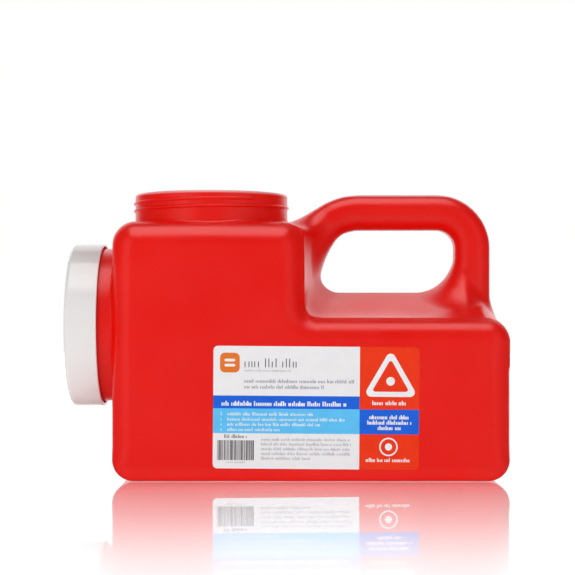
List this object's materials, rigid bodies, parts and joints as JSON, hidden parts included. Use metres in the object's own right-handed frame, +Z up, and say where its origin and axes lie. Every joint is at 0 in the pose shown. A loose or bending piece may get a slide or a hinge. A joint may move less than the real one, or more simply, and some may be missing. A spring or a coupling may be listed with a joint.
{
  "type": "sharps container",
  "caption": "Red stepped plastic sharps container with a wide threaded neck, a bar handle over its lower part, and its white screw cap stored on a side boss.",
  "frame": {"origin": "on the floor, at the middle of the overall length and depth", "axes": "+X from the stored cap towards the handle, +Y from the labelled front to the back, +Z up"},
  "size_m": [0.302, 0.1306, 0.197],
  "materials": {
    "container_plastic": "satin red polyethylene, slightly orange-peeled",
    "cap_plastic": "glossy white",
    "liner_foam": "matte white foam",
    "front_print": "semi-gloss film, white with an orange-red column and blue bands",
    "back_print": "semi-gloss white film with one dark line"
  },
  "bodies": {
    "container": {"container_body": "container_plastic", "front_label": "front_print", "fill_line_label": "back_print"},
    "liner": {"cap_liner": "liner_foam"},
    "cap": {"screw_cap": "cap_plastic"}
  },
  "joints": [
    {"name": "cap_travel", "type": "slide", "parent": "container", "child": "liner", "axis": [-1, 0, 0], "range_m": [0, 0.0305]},
    {"name": "cap_turn", "type": "hinge", "parent": "liner", "child": "cap", "pos_m": [-0.14, 0, 0.1052], "axis": [-1, 0, 0], "range_deg": [0, 2160]}
  ],
  "couplings": [
    {"joint": "cap_travel", "follows": "cap_turn", "m_per_rad": 0.00080851}
  ]
}
